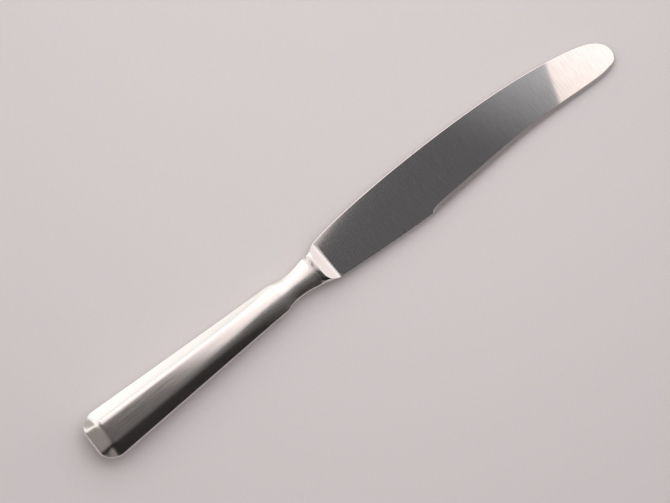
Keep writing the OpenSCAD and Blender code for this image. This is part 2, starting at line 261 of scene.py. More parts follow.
@dataclass(frozen=True)
class HandleForm:
    """Outer form of the handle and of the bolster's oval, which carries it on.

    The handle is an octagon with crisp facets near the butt. They soften towards the slim neck, which flares
    into the squarer oval of the bolster.
    """

    length: float = 88.8
    butt_w: float = 17.2
    butt_t: float = 10.4
    butt_flat_w: float = 10.8
    butt_flat_t: float = 5.2
    cut_len: float = 3.6
    end_len: float = 5.2
    corner_r: float = 1.8
    edge_r: float = 0.9
    corner_soft: float = 2.4
    end_soft: float = 0.7
    facet_w: float = 8.1
    side_h: float = 4.4
    facet_crisp: float = 26
    side_crisp: float = 60
    facet_crown: float = 0.22
    shoulder_back: float = 14
    shoulder_w: float = 10.4
    shoulder_t: float = 7.4
    shoulder_drop: float = 0.85
    neck_back: float = 8.5
    neck_w: float = 8.25
    neck_t: float = 6.9
    neck_side_h: float = 3.6
    mouth_w: float = 11.0
    mouth_t: float = 7.0
    bolster_len: float = 4.7
    bolster_w: float = 13.9
    bolster_t: float = 7.7
    oval_crisp: float = 3
    bolster_crisp: float = 12
    bolster_share: float = 0.78
    square_back: float = 2.0
    square_ahead: float = 1.2
    share_max: float = 0.85
    wall: float = 0.6
    seam: float = 0.12

    @property
    def shoulder_x(self) -> float:
        """Where the straight taper ends."""
        return self.length - self.shoulder_back

    @property
    def neck_x(self) -> float:
        """Where the handle is slimmest."""
        return self.length - self.neck_back

    @property
    def front_x(self) -> float:
        """Foot of the bolster's front bevel, where the blade starts."""
        return self.length + self.bolster_len

    @property
    def rest_h(self) -> float:
        """Height of the plane between the shells over the frame's origin."""
        return (self.butt_t + self.seam) / 2

    @property
    def widths(self) -> Sizes:
        """The handle seen on its broad side."""
        return Sizes(self.butt_w, self.shoulder_w, self.neck_w, self.mouth_w, self.bolster_w,
                     self.shoulder_drop, self.cut_len)

    @property
    def depths(self) -> Sizes:
        """The handle seen on its narrow side, which has no fall at the shoulder."""
        return Sizes(self.butt_t, self.shoulder_t, self.neck_t, self.mouth_t, self.bolster_t, 0, self.end_len)

    def straight_half(self, x: float, d: Sizes) -> float:
        """Half the handle's size at x if its straight taper ran on."""
        return (d.shoulder + (d.shoulder - d.butt) * (x - self.shoulder_x) / (self.shoulder_x - d.cut)) / 2

    def long_half(self, x: float, d: Sizes) -> float:
        """Half the handle's size at x, before the butt is cut.

        Args:
            x: station along the handle.
            d: the handle's widths or thicknesses.

        Returns:
            Half the width or thickness.
        """
        taper = (d.shoulder - d.butt) / (self.shoulder_x - d.cut)
        flare = (d.bolster - d.mouth) / self.bolster_len
        if x < self.shoulder_x:
            return self.straight_half(x, d)
        if x < self.neck_x:
            full = cubic(x, (self.shoulder_x, d.shoulder, taper - d.fall), (self.neck_x, d.neck, 0))
        elif x < self.length:
            full = cubic(x, (self.neck_x, d.neck, 0), (self.length, d.mouth, flare))
        else:
            full = d.mouth + flare * (x - self.length)
        return full / 2

    @staticmethod
    def edge_inset(x: float, r: float) -> float:
        """How far a rounding of radius r at the butt end draws the surface in at x."""
        u = max(r - max(x, 0), 0)
        return r - math.sqrt(r ** 2 - u ** 2)

    def half_size(self, x: float, d: Sizes, flat: float, soft: float, r: float) -> float:
        """Half the width or thickness at x, with the butt cut.

        Args:
            x: station along the handle.
            d: the handle's widths or thicknesses.
            flat: size of the flat butt end.
            soft: rounding where the cut meets the long side.
            r: rounding where it meets the butt end.

        Returns:
            Half the size.
        """
        slope = (d.butt - flat) / 2 / d.cut
        cut = soft_min(self.long_half(x, d), flat / 2 + slope * x, soft)
        return float(cut) - self.edge_inset(x, r)

    def octagon_radius(self, c: np.ndarray, s: np.ndarray, f: float, h: float, p: float,
                       q: float) -> np.ndarray:
        """Radius of a soft-cornered octagon of half width 1 and half height 1, with slightly crowned sides.

        Args:
            c: cosines of the directions.
            s: sines of the directions.
            f: half width of its top facet.
            h: half height of its side.
            p: how crisp the top facet's corners are.
            q: how crisp the side's corners are.

        Returns:
            The radius in each direction.
        """
        a = (1 - h) * c / (1 - f * h)
        b = (1 - f) * s / (1 - f * h)
        side = (c ** q + (a + b) ** q) ** (p / q)
        return (side + s ** p + np.abs(a - b) ** p) ** ((self.facet_crown - 1) / p)

    def half_ring(self, x: float, inset: float, angles: np.ndarray) -> np.ndarray:
        """Upper half of the handle's outline at x.

        Args:
            x: station along the handle.
            inset: how far it is drawn in all round.
            angles: directions from the +Y side over the top to the -Y side, in radians.

        Returns:
            Points in rows of x, y, z.
        """
        xi = x - inset
        w = self.half_size(xi, self.widths, self.butt_flat_w, self.corner_soft, self.corner_r)
        t = self.half_size(xi, self.depths, self.butt_flat_t, self.end_soft, self.edge_r)
        square = float(smooth(xi, self.length - self.square_back, self.length + self.square_ahead))
        oval = float(smooth(xi, self.shoulder_x / 2, self.neck_x))
        f = min(self.facet_w / self.butt_w * self.straight_half(xi, self.widths) / w, self.share_max)
        h = min(self.side_h / self.butt_t * self.long_half(xi, self.depths) / t, self.share_max)
        h = mix(h, self.neck_side_h / self.neck_t, oval)
        f, h = mix(f, self.bolster_share, square), mix(h, self.bolster_share, square)
        p = mix(mix(self.facet_crisp, self.oval_crisp, oval), self.bolster_crisp, square)
        q = mix(self.side_crisp, self.bolster_crisp, square)
        c, s = np.cos(angles), np.maximum(np.sin(angles), 0)
        r = self.octagon_radius(np.abs(c), s, f, h, p, q)
        r_side, r_top = self.octagon_radius(np.array([1.0, 0.0]), np.array([0.0, 1.0]), f, h, p, q)
        y = (w - inset) * c * r / r_side
        z = (t - inset) * s * r / r_top + self.seam / 2
        return np.column_stack([np.full_like(y, x), y, z])


@dataclass
class HandleShell:
    """One stamped half of the hollow handle, with its wall, rim and mouth."""

    form: HandleForm
    side: Side
    name: str
    node: str
    edge_rings: int = 10
    cut_rings: int = 44
    cut_reach: float = 1.3
    taper_rings: int = 40
    neck_rings: int = 56
    even_step_deg: float = 2.0
    corner_step_deg: float = 0.6
    corner_reach_deg: float = 6.0
    sharp_deg: float = 40
    piece: bpy.types.Object | None = field(default=None, init=False)

    def angles(self) -> np.ndarray:
        """Directions round half a ring, closer together at the four facet edges.

        Returns:
            Angles from the +Y side over the top, in radians.
        """
        form = self.form
        top = math.degrees(math.atan2(1, form.facet_w / form.butt_w))
        low = math.degrees(math.atan2(form.side_h / form.butt_t, 1))
        reach, step = self.corner_reach_deg, self.corner_step_deg
        even = np.arange(0, 180 + self.even_step_deg / 2, self.even_step_deg)
        corners = [c + np.arange(-reach, reach, step) for c in (low, top, 180 - top, 180 - low)]
        every = np.sort(np.concatenate([even, *corners]))
        keep = np.concatenate([[True], np.diff(every) > step / 2])
        keep[-1] = True
        return np.radians(every[keep])

    def stations(self, start: float) -> np.ndarray:
        """Stations of the shell's rings, close together at the butt and the neck.

        Args:
            start: the first station.

        Returns:
            Stations from start to the mouth.
        """
        form = self.form
        cut_end = self.cut_reach * max(form.cut_len, form.end_len)
        quarter = np.linspace(0, math.pi / 2, self.edge_rings + 1)
        runs = [form.edge_r * (1 - np.cos(quarter)),
                np.linspace(form.edge_r, cut_end, self.cut_rings + 1)[1:],
                np.linspace(cut_end, form.shoulder_x, self.taper_rings + 1)[1:],
                np.linspace(form.shoulder_x, form.length, self.neck_rings + 1)[1:]]
        return start + np.concatenate(runs) * (form.length - start) / form.length

    def build(self) -> bpy.types.Object:
        """Builds the shell: an outer and an inner skin, joined at the rim and the mouth.

        Returns:
            The shell's object.
        """
        form, angles = self.form, self.angles()
        outer = [form.half_ring(x, 0, angles) for x in self.stations(0)]
        inner = [form.half_ring(x, form.wall, angles) for x in self.stations(form.wall)]
        n, rows = len(angles), len(outer)
        hole, last = rows * n, (rows - 1) * n
        butt, pit = 2 * hole, 2 * hole + 1
        middles = [(r[0] + r[-1]) / 2 for r in (outer[0], inner[0])]
        points = np.vstack([*outer, *inner, *middles])
        faces = grid_faces(0, rows, n, False) + grid_faces(hole, rows, n, False)
        faces += [(a, a + n, hole + a + n, hole + a) for j in (0, n - 1) for a in range(j, last + j, n)]
        faces += [(last + j, last + j + 1, hole + last + j + 1, hole + last + j) for j in range(n - 1)]
        for first, middle in ((0, butt), (hole, pit)):
            faces += [(first + j, first + j + 1, middle) for j in range(n - 1)]
        faces += [(n - 1, hole + n - 1, pit, butt), (butt, pit, hole, 0)]
        points[:, 2] *= self.side.value
        points += np.array([-self.frame_shift(), 0, form.rest_h])
        self.piece = new_piece(self.name, points, faces, self.sharp_deg)
        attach(self.piece, BODY)
        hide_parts(self.node)
        return self.piece

    @staticmethod
    def frame_shift() -> float:
        """Distance from the butt to the frame's origin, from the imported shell."""
        return -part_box("upper_handle_shell")[0].x / MM

    def dress(self, plate: bpy.types.Material) -> None:
        """Gives the shell its plated finish."""
        self.piece.data.materials.append(plate)


@dataclass
class KnifeBlade:
    """The forged steel piece: tang, bolster and blade, as rings along one closed tube."""

    form: HandleForm
    name: str = "blade_steel"
    node: str = "blade"
    bevel_len: float = 3.2
    fillet_h: float = 0.75
    ridge_soft: float = 0.25
    root_len: float = 1.2
    length: float = 116.5
    root_t: float = 1.76
    tip_t: float = 0.96
    wedge_t: float = 1.1
    edge_t: float = 0.24
    crown_h: float = 9.85
    crown_x: float = 44.5
    heel_d: float = 9.47
    heel_len: float = 36.8
    hollow_back: float = 35.5
    hollow_d: float = 7.55
    tip_back: float = 8.7
    tip_shoulder_h: float = 3.95
    nose_d: float = 3.4
    belly_d: float = 8.65
    grind_w: float = 1.4
    grind_tip_w: float = 0.7
    grind_run_len: float = 4.8
    run_out_len: float = 5.0
    spine_r: float = 0.3
    heel_r: float = 0.25
    brushed_from: float = 0.9
    tang_len: float = 52
    tang_w: float = 4.8
    tang_end_w: float = 3.2
    tang_t: float = 2.8
    notch_r: float = 0.5
    notch_pairs: int = 3
    notch_pitch: float = 9
    spine_pulls: tuple[Pulls, ...] = (
        ((0.16, 0.55), (0.55, 1)), ((0.35, 0), (0.72, 0.18)), ((0.48, 0.155), (1, 0.52)))
    under_pulls: tuple[Pulls, ...] = (
        ((0, 0.67), (0.3, 1)), ((0.24, 0), (0.66, 1)), ((0.27, 0), (0.36, 0.3)), ((0.33, 0.16), (0.73, 0.64)))
    round_share: float = 0.85
    bolster_step: float = 0.07
    root_reach: float = 2.4
    run_step: float = 0.12
    run_margin: float = 0.4
    ring_gap: float = 0.1
    heel_rings: int = 60
    edge_rings: int = 90
    tip_rings: int = 70
    tip_sweep_deg: float = 89
    notch_rings: int = 9
    oval_steps: int = 361
    rim_w: float = 2.6
    rim_share: float = 0.3
    rim_back: float = 0.5
    rim_ahead: float = 2.2
    spine_n: int = 10
    flat_n: int = 49
    flat_rim: float = 0.004
    flat_edge: float = 0.02
    strip_shares: tuple[float, ...] = (1, 0.97, 0.9, 0.8, 0.68, 0.55, 0.42, 0.3, 0.19, 0.1, 0.03, 0)
    sharp_deg: float = 38
    spine: np.ndarray = field(init=False)
    under: np.ndarray = field(init=False)
    piece: bpy.types.Object | None = field(default=None, init=False)

    def __post_init__(self) -> None:
        """Draws the blade's outline from its turning points."""
        front, total = self.form.front_x, self.total
        half = self.form.bolster_w / 2
        heel_top, heel_low = (front, half), (front, -half)
        crown = (front + self.crown_x, self.crown_h)
        shoulder = (total - self.tip_back, self.tip_shoulder_h)
        nose = (total, -self.nose_d)
        belly = (total - self.tip_back, -self.belly_d)
        hollow = (total - self.hollow_back, -self.hollow_d)
        heel_end = (front + self.heel_len, -self.heel_d)
        self.spine = outline((heel_top, crown, shoulder, nose), self.spine_pulls)
        self.under = outline((nose, belly, hollow, heel_end, heel_low), self.under_pulls)[::-1]

    @property
    def total(self) -> float:
        """Length of the whole knife."""
        return self.form.front_x + self.length

    @property
    def heel_end_x(self) -> float:
        """Where the ground strip starts."""
        return self.form.front_x + self.heel_len

    def reach(self, x: float) -> Pair:
        """How far across the steel reaches.

        Args:
            x: station along the knife.

        Returns:
            Its lowest and its highest Y.
        """
        form = self.form
        if x <= form.front_x:
            w = form.long_half(x, form.widths)
            return -w, w
        low = np.interp(x, self.under[:, 0], self.under[:, 1])
        return float(low), float(np.interp(x, self.spine[:, 0], self.spine[:, 1]))

    def side_z(self, x: float, y: np.ndarray) -> np.ndarray:
        """Half thickness of the blade at points of its flat side.

        Args:
            x: station along the knife.
            y: places across the blade.

        Returns:
            Height of the flat over the middle plane.
        """
        along = (self.tip_t - self.root_t) / 2 / self.length
        across = self.wedge_t / 2 / (self.crown_h + self.heel_d)
        return self.root_t / 2 + along * (x - self.form.front_x) + across * y

    def strip_w(self, x: float) -> Pair:
        """Width of the ground strip, which runs in at the heel and out at the nose.

        Args:
            x: station along the knife.

        Returns:
            The strip's width there, and its full width without run-in and run-out.
        """
        past = x - self.heel_end_x
        full = mix(self.grind_w, self.grind_tip_w, max(past, 0) / (self.length - self.heel_len))
        run = min(max(past / self.grind_run_len, 0), 1)
        out = float(smooth(x, self.total - self.run_out_len, self.total))
        return full * math.sqrt(run * (2 - run)) * (1 - out), full

    @staticmethod
    def distance(x: float, y: np.ndarray, line: np.ndarray, search: float = 12) -> np.ndarray:
        """Distance in the flat from points at x to a line of points.

        Args:
            x: station of the points.
            y: places across the blade.
            line: the line's points.
            search: how far along the blade the line is searched.

        Returns:
            The distance of each point.
        """
        a, d = line[:-1], np.diff(line, axis=0)
        near = np.abs(a[:, 0] - x) < search
        a, d = a[near], d[near]
        q = np.column_stack([np.full_like(y, x), y])[:, None, :] - a[None]
        t = np.clip((q * d).sum(2) / np.maximum((d * d).sum(1), 1e-12), 0, 1)
        return np.sqrt(((q - t[..., None] * d) ** 2).sum(2)).min(1)

    @staticmethod
    def rounding(d: np.ndarray, r: np.ndarray) -> np.ndarray:
        """How far a rounded edge of radius r lowers the surface at distance d from it."""
        u = np.maximum(r - d, 0)
        return r - np.sqrt(np.maximum(r * r - u * u, 0))

    def blade_z(self, x: float, y: np.ndarray, grown: float = 1.0) -> np.ndarray:
        """Height of the blade's upper side, with its rounded spine and its ground strip.

        Args:
            x: station along the knife.
            y: places across the blade.
            grown: share of the edges' rounding, which starts at the bolster.

        Returns:
            Height over the middle plane.
        """
        flat = self.side_z(x, y)
        strip, full = self.strip_w(x)
        d_low = self.distance(x, y, self.under)
        blunt = self.heel_r * grown * (1 - strip / full)
        most = self.round_share * flat
        top = self.rounding(self.distance(x, y, self.spine), np.minimum(self.spine_r * grown, most))
        z = flat - np.maximum(top, self.rounding(d_low, np.minimum(blunt, most)))
        if strip <= 0:
            return z
        low, _ = self.reach(x)
        rise = (float(self.side_z(x, np.array(low + full))) - self.edge_t / 2) / full
        return np.minimum(z, self.edge_t / 2 + rise * (d_low - strip + full))

    def bevel_z(self, x: float) -> float:
        """Plane that the bolster's front bevel lies in.

        Args:
            x: station along the knife.

        Returns:
            The plane's height there.
        """
        form = self.form
        foot = self.root_t / 2
        ridge = form.long_half(form.front_x - self.bevel_len, form.depths)
        return foot + (ridge - foot) * (form.front_x - x) / self.bevel_len

    def section(self, x: float, y: np.ndarray) -> np.ndarray:
        """Upper side of the bolster and blade at x: the bevel runs into the flat in a hollow.

        Args:
            x: station along the knife.
            y: places across it.

        Returns:
            Height over the middle plane.
        """
        form = self.form
        bevel = self.bevel_z(x)
        if x > form.front_x:
            grown = float(smooth(x, form.front_x, form.front_x + self.root_len))
            return soft_max(self.blade_z(x, y, grown), bevel, self.fillet_h)
        roof = soft_max(self.side_z(x, y), bevel, self.fillet_h)
        ring = form.half_ring(x, 0, np.linspace(0, math.pi, self.oval_steps))[::-1]
        oval = np.interp(y, ring[:, 1], ring[:, 2])
        return np.maximum(soft_min(oval, roof, self.ridge_soft), form.seam / 2)

    def stations(self) -> np.ndarray:
        """Stations of the rings, close together where the form turns.

        Returns:
            Stations from the bolster's back to the nose.
        """
        form, margin, gap = self.form, self.run_margin, self.ring_gap
        root_end, tip_start = form.front_x + self.root_reach, self.total - self.tip_back
        run_start, run_end = self.heel_end_x - margin, self.heel_end_x + self.grind_run_len + margin
        sweep = np.radians(np.linspace(0, self.tip_sweep_deg, self.tip_rings))
        runs = [np.arange(form.length, root_end, self.bolster_step),
                np.linspace(root_end + gap, run_start, self.heel_rings),
                np.arange(run_start + gap, run_end, self.run_step),
                np.linspace(run_end + 2 * gap, tip_start - 3 * gap, self.edge_rings),
                tip_start + self.tip_back * np.sin(sweep)]
        return np.concatenate(runs)

    def across(self, x: float) -> np.ndarray:
        """Places across the steel at x, from the spine to the edge, in a fixed number of zones.

        Args:
            x: station along the knife.

        Returns:
            Y values: the spine's rounding, the flat and the strip along the edge.
        """
        low, high = self.reach(x)
        form = self.form
        head = float(smooth(x, form.front_x - self.rim_back, form.front_x + self.rim_ahead))
        most = self.rim_share * (high - low)
        top = min(mix(self.rim_w, self.spine_r, head), most)
        strip, _ = self.strip_w(x)
        bottom = min(mix(self.rim_w, max(self.heel_r, strip), head), most)
        quarter = np.linspace(0, math.pi / 2, self.spine_n + 1)
        # Close lines along both edges of the flat keep its shading even
        rim, edge = self.flat_rim, self.flat_edge
        flat = np.concatenate([[0, rim], np.linspace(edge, 1 - edge, self.flat_n), [1 - rim]])
        spine_ys = high - top * (1 - np.cos(quarter[:-1]))
        flat_ys = high - top + (low + bottom - high + top) * flat
        return np.concatenate([spine_ys, flat_ys, low + bottom * np.array(self.strip_shares)])

    def tang_rings(self, n: int) -> list[np.ndarray]:
        """Rings of the notched tang, from its end to the bolster.

        Args:
            n: points across one side.

        Returns:
            Rings of 2 n points each.
        """
        start = self.form.length - self.tang_len
        notches = [start + (i + 1) * self.notch_pitch for i in range(self.notch_pairs)]
        bites = [c + self.notch_r * np.cos(np.linspace(math.pi, 0, self.notch_rings)) for c in notches]
        rings = []
        for x in np.concatenate([[start], *bites, [self.form.length]]):
            half = mix(self.tang_end_w, self.tang_w, (x - start) / self.tang_len) / 2
            near = min(abs(x - c) for c in notches)
            half -= math.sqrt(max(self.notch_r ** 2 - near ** 2, 0))
            y = np.linspace(half, -half, n)
            rings.append(self.ring(x, y, np.full(n, self.tang_t / 2)))
        return rings

    @staticmethod
    def ring(x: float, y: np.ndarray, z: np.ndarray) -> np.ndarray:
        """A closed ring, whose lower side is the mirror image of its upper side.

        Args:
            x: station along the knife.
            y: places across the upper side.
            z: its heights there.

        Returns:
            The ring's points.
        """
        upper = np.column_stack([np.full_like(y, x), y, z])
        lower = upper[::-1] * np.array([1, 1, -1])
        return np.vstack([upper, lower])

    def build(self) -> bpy.types.Object:
        """Builds the steel piece as one closed tube and sorts its faces by finish.

        Returns:
            The blade's object.
        """
        form = self.form
        stations = self.stations()
        head = []
        for x in stations:
            y = self.across(x)
            head.append(self.ring(x, y, self.section(x, y)))
        n = len(head[0]) // 2
        tang = self.tang_rings(n)
        rings = tang + head
        points = np.vstack(rings)
        width, rows = 2 * n, len(rings)
        faces = grid_faces(0, rows, width, True)
        last = (rows - 1) * width
        for a in (0, last):
            faces += [(a + j, a + j + 1, a + width - 2 - j, a + width - 1 - j) for j in range(n - 1)]
        points += np.array([-HandleShell.frame_shift(), 0, form.rest_h])
        self.piece = new_piece(self.name, points, faces, self.sharp_deg)
        self.sort_faces(stations, len(tang), width)
        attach(self.piece, BODY)
        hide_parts(self.node)
        return self.piece

    def sort_faces(self, stations: np.ndarray, tang_rows: int, width: int) -> None:
        """Gives each face of the tube the finish of its zone.

        Args:
            stations: stations of the rings from the bolster's back on.
            tang_rows: rings of the tang before them.
            width: points in a ring.
        """
        n, column = width // 2, np.arange(width)
        k = np.where(column < n, column, width - 2 - column)
        x = stations[:-1, None]
        on_strip = k >= n - len(self.strip_shares)
        on_flat = (k >= self.spine_n) & ~on_strip
        head = np.full((len(stations) - 1, width), SteelZone.POLISHED.value)
        head[(x >= self.heel_end_x) & on_strip] = SteelZone.GROUND.value
        head[(x >= self.form.front_x + self.brushed_from) & on_flat] = SteelZone.BRUSHED.value
        first = tang_rows * width
        zones = np.full(len(self.piece.data.polygons), SteelZone.POLISHED.value)
        zones[:first] = SteelZone.FORGED.value
        zones[first:first + head.size] = head.ravel()
        self.piece.data.polygons.foreach_set("material_index", zones)

    def dress(self, finishes: dict[SteelZone, bpy.types.Material]) -> None:
        """Gives each zone of the steel its finish, in the order of the zones' slots."""
        for zone in SteelZone:
            self.piece.data.materials.append(finishes[zone])


@dataclass
class InnerNode:
    """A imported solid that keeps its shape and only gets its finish."""

    node: str

    def dress(self, finish: bpy.types.Material) -> None:
        """Puts the finish into every material slot of the solid.

        Args:
            finish: the material.
        """
        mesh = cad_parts[self.node].data
        mesh.materials.clear()
        mesh.materials.append(finish)


@dataclass(frozen=True)
class Finish:
    """A finish: its name, and the nodes that every finish starts and ends with."""

    name: str

    def start(self) -> tuple[bpy.types.Material, bpy.types.NodeTree, bpy.types.NodeSocket]:
        """Makes an empty material.

        Returns:
            The material, its tree and the output that gives the place on the object in mm.
        """
        material = bpy.data.materials.new(self.name)
        material.use_nodes = True
        tree = material.node_tree
        tree.nodes.clear()
        place = add_node(tree, "ShaderNodeTexCoord").outputs["Object"]
        in_mm = add_node(tree, "ShaderNodeVectorMath", {"operation": "SCALE"}, {0: place, "Scale": 1 / MM})
        return material, tree, in_mm.outputs[0]

    @staticmethod
    def end(tree: bpy.types.NodeTree, inputs: dict[str, Any]) -> None:
        """Adds the shader, with its inputs, and the material's output."""
        shader = add_node(tree, "ShaderNodeBsdfPrincipled", None, inputs)
        add_node(tree, "ShaderNodeOutputMaterial", None, {"Surface": shader.outputs["BSDF"]})


@dataclass(frozen=True)
class SilverPlate(Finish):
    """Buffed silver plate: a warm, slightly soft mirror, clouded by handling, with fine marks from wiping.

    Fingers have worn it duller where they grip it, at the neck.
    """

    name: str = "buffed_silver_plate"
    bright: str = "#F8F6F4"
    clouded: str = "#F0EDEB"
    pitted: str = "#8E8580"
    cloud_mm: Triple = (14.0, 7.0, 7.0)
    cloud_detail: float = 3.0
    wipe_mm: Triple = (16.0, 0.35, 0.35)
    wipe_detail: float = 2.0
    smooth_rough: float = 0.14
    wiped_rough: float = 0.21
    grip_x_mm: float = field(kw_only=True)
    grip_fade_mm: float = 14.0
    grip_rough: float = 0.12
    pit_pitch_mm: float = 2.2
    pit_mm: float = 0.2
    pit_soft: float = 0.6
    pitted_share: float = 0.2

    def material(self) -> bpy.types.Material:
        """Makes the finish.

        Returns:
            The material.
        """
        material, tree, place = self.start()
        # Handling leaves soft clouds, longer than wide
        cells = add_node(tree, "ShaderNodeVectorMath", {"operation": "DIVIDE"}, {0: place, 1: self.cloud_mm})
        cloud = add_node(tree, "ShaderNodeTexNoise", None,
                         {"Vector": cells.outputs[0], "Scale": 1.0, "Detail": self.cloud_detail})
        colour = add_node(tree, "ShaderNodeMix", {"data_type": "RGBA"},
                          {0: cloud.outputs["Fac"], 6: linear(self.bright), 7: linear(self.clouded)})
        # Wiping runs along the handle; its real marks are finer than a pixel and are drawn wider to show
        cells = add_node(tree, "ShaderNodeVectorMath", {"operation": "DIVIDE"}, {0: place, 1: self.wipe_mm})
        wipe = add_node(tree, "ShaderNodeTexNoise", None,
                        {"Vector": cells.outputs[0], "Scale": 1.0, "Detail": self.wipe_detail})
        rough = add_node(tree, "ShaderNodeMapRange", None,
                         {"Value": wipe.outputs["Fac"], "From Min": NOISE_SPAN[0], "From Max": NOISE_SPAN[1],
                          "To Min": self.smooth_rough, "To Max": self.wiped_rough})
        # The grip's fine scratches are finer than a pixel and only blur what the neck mirrors
        along = add_node(tree, "ShaderNodeSeparateXYZ", None, {0: place})
        grip = add_node(tree, "ShaderNodeMapRange", {"interpolation_type": "SMOOTHSTEP"},
                        {"Value": along.outputs["X"], "From Min": self.grip_x_mm - self.grip_fade_mm,
                         "From Max": self.grip_x_mm, "To Max": self.grip_rough})
        rough = add_node(tree, "ShaderNodeMath", {"operation": "ADD"},
                         {0: rough.outputs["Result"], 1: grip.outputs["Result"]})
        # Use leaves a few pin-point pits, which look dark
        cells = add_node(tree, "ShaderNodeTexVoronoi", None,
                         {"Vector": place, "Scale": 1 / self.pit_pitch_mm})
        edge = self.pit_mm / 2 / self.pit_pitch_mm
        near = add_node(tree, "ShaderNodeMapRange", None,
                        {"Value": cells.outputs["Distance"], "From Min": (1 - self.pit_soft) * edge,
                         "From Max": (1 + self.pit_soft) * edge, "To Min": 1.0, "To Max": 0.0})
        few = add_node(tree, "ShaderNodeMath", {"operation": "LESS_THAN"},
                       {0: cells.outputs["Color"], 1: self.pitted_share})
        pit = add_node(tree, "ShaderNodeMath", {"operation": "MULTIPLY"},
                       {0: near.outputs["Result"], 1: few.outputs[0]})
        worn = add_node(tree, "ShaderNodeMix", {"data_type": "RGBA"},
                        {0: pit.outputs[0], 6: colour.outputs[2], 7: linear(self.pitted)})
        self.end(tree, {"Base Color": worn.outputs[2], "Roughness": rough.outputs[0], "Metallic": 1.0})
        return material


@dataclass(frozen=True)
class GrainedFinish(Finish):
    """A finish, mostly of a metal, whose colour and gloss follow one grain of a size along X, Y and Z.

    A relief lets the grain stand up from the surface.
    """

    base: str
    fleck: str
    grain_mm: Triple
    detail: float
    low_rough: float
    high_rough: float
    span: Pair = (0.0, 1.0)
    metallic: float = 1.0
    relief_mm: float = 0.0
    relief_share: float = 0.4

    def material(self) -> bpy.types.Material:
        """Makes the finish.

        Returns:
            The material.
        """
        material, tree, place = self.start()
        cells = add_node(tree, "ShaderNodeVectorMath", {"operation": "DIVIDE"}, {0: place, 1: self.grain_mm})
        grain = add_node(tree, "ShaderNodeTexNoise", None,
                         {"Vector": cells.outputs[0], "Scale": 1.0, "Detail": self.detail})
        share = add_node(tree, "ShaderNodeMapRange", None,
                         {"Value": grain.outputs["Fac"], "From Min": self.span[0], "From Max": self.span[1]})
        colour = add_node(tree, "ShaderNodeMix", {"data_type": "RGBA"},
                          {0: share.outputs["Result"], 6: linear(self.base), 7: linear(self.fleck)})
        rough = add_node(tree, "ShaderNodeMapRange", None,
                         {"Value": share.outputs["Result"],
                          "To Min": self.low_rough, "To Max": self.high_rough})
        inputs = {"Base Color": colour.outputs[2], "Roughness": rough.outputs["Result"],
                  "Metallic": self.metallic}
        if self.relief_mm > 0:
            bump = add_node(tree, "ShaderNodeBump", None,
                            {"Strength": self.relief_share, "Distance": self.relief_mm * MM,
                             "Height": grain.outputs["Fac"]})
            inputs["Normal"] = bump.outputs[0]
        self.end(tree, inputs)
        return material


@dataclass(frozen=True)
class BrushedSteel(GrainedFinish):
    """Stainless steel, brushed across the blade: a clear grey mirror with a faint haze of cross lines.

    Single lines are finer than a pixel, so they are drawn as wider streaks to show.
    """

    name: str = "cross_brushed_stainless_steel"
    base: str = "#E2E0E0"
    fleck: str = "#D0CECE"
    grain_mm: Triple = (0.25, 6.0, 6.0)
    detail: float = 2.0
    low_rough: float = 0.045
    high_rough: float = 0.065
    span: Pair = NOISE_SPAN


@dataclass(frozen=True)
class PolishedSteel(GrainedFinish):
    """Stainless steel polished on a mop: bright, clean reflections, with a trace of haze."""

    name: str = "mop_polished_stainless_steel"
    base: str = "#EAE6E4"
    fleck: str = "#E0DCDA"
    grain_mm: Triple = (2.5, 7.5, 2.5)
    detail: float = 3.0
    low_rough: float = 0.1
    high_rough: float = 0.16


@dataclass(frozen=True)
class GroundSteel(GrainedFinish):
    """Steel as the grinding wheel left it along the cutting edge: duller, with short cross lines.

    The wheel's lines are finer than a pixel and are drawn wider to show.
    """

    name: str = "wheel_ground_stainless_steel"
    base: str = "#DCD7D5"
    fleck: str = "#CAC4C2"
    grain_mm: Triple = (0.3, 3.0, 3.0)
    detail: float = 2.0
    low_rough: float = 0.42
    high_rough: float = 0.55


@dataclass(frozen=True)
class ForgedSteel(GrainedFinish):
    """Steel as it left the forge, inside the handle: dark grey scale, rough to the touch."""

    name: str = "forge_scaled_steel"
    base: str = "#5B5A58"
    fleck: str = "#7C7B78"
    grain_mm: Triple = (1.4, 1.4, 1.4)
    detail: float = 4.0
    low_rough: float = 0.45
    high_rough: float = 0.7


@dataclass(frozen=True)
class HardSolder(GrainedFinish):
    """Silver solder dressed flush with a file and plated over: a little duller than the shells."""

    name: str = "filed_silver_solder"
    base: str = "#F4F0EA"
    fleck: str = "#E6E1DA"
    grain_mm: Triple = (2.4, 0.6, 0.6)
    detail: float = 3.0
    low_rough: float = 0.16
    high_rough: float = 0.26


@dataclass(frozen=True)
class HandleFilling(GrainedFinish):
    """Resin and stone-dust cement, poured hot and set hard: brown-grey, matte and grainy."""

    name: str = "poured_resin_cement"
    base: str = "#5E5348"
    fleck: str = "#8A7D6E"
    grain_mm: Triple = (0.5, 0.5, 0.5)
    detail: float = 5.0
    low_rough: float = 0.75
    high_rough: float = 0.95
    metallic: float = 0.0
    relief_mm: float = 0.1


@dataclass(frozen=True)
class TableTop(Finish):
    """Pale painted table: matte, faintly pink grey, with a very fine tooth."""

    name: str = "matte_painted_table"
    light: str = "#DAD4D5"
    shade: str = "#D6D0D1"
    tooth_mm: float = 1.2
    rough: float = 0.8

    def material(self) -> bpy.types.Material:
        """Makes the finish.

        Returns:
            The material.
        """
        material, tree, place = self.start()
        tooth = add_node(tree, "ShaderNodeTexNoise", None,
                         {"Vector": place, "Scale": 1 / self.tooth_mm, "Detail": 3.0})
        colour = add_node(tree, "ShaderNodeMix", {"data_type": "RGBA"},
                          {0: tooth.outputs["Fac"], 6: linear(self.light), 7: linear(self.shade)})
        self.end(tree, {"Base Color": colour.outputs[2], "Roughness": self.rough})
        return material


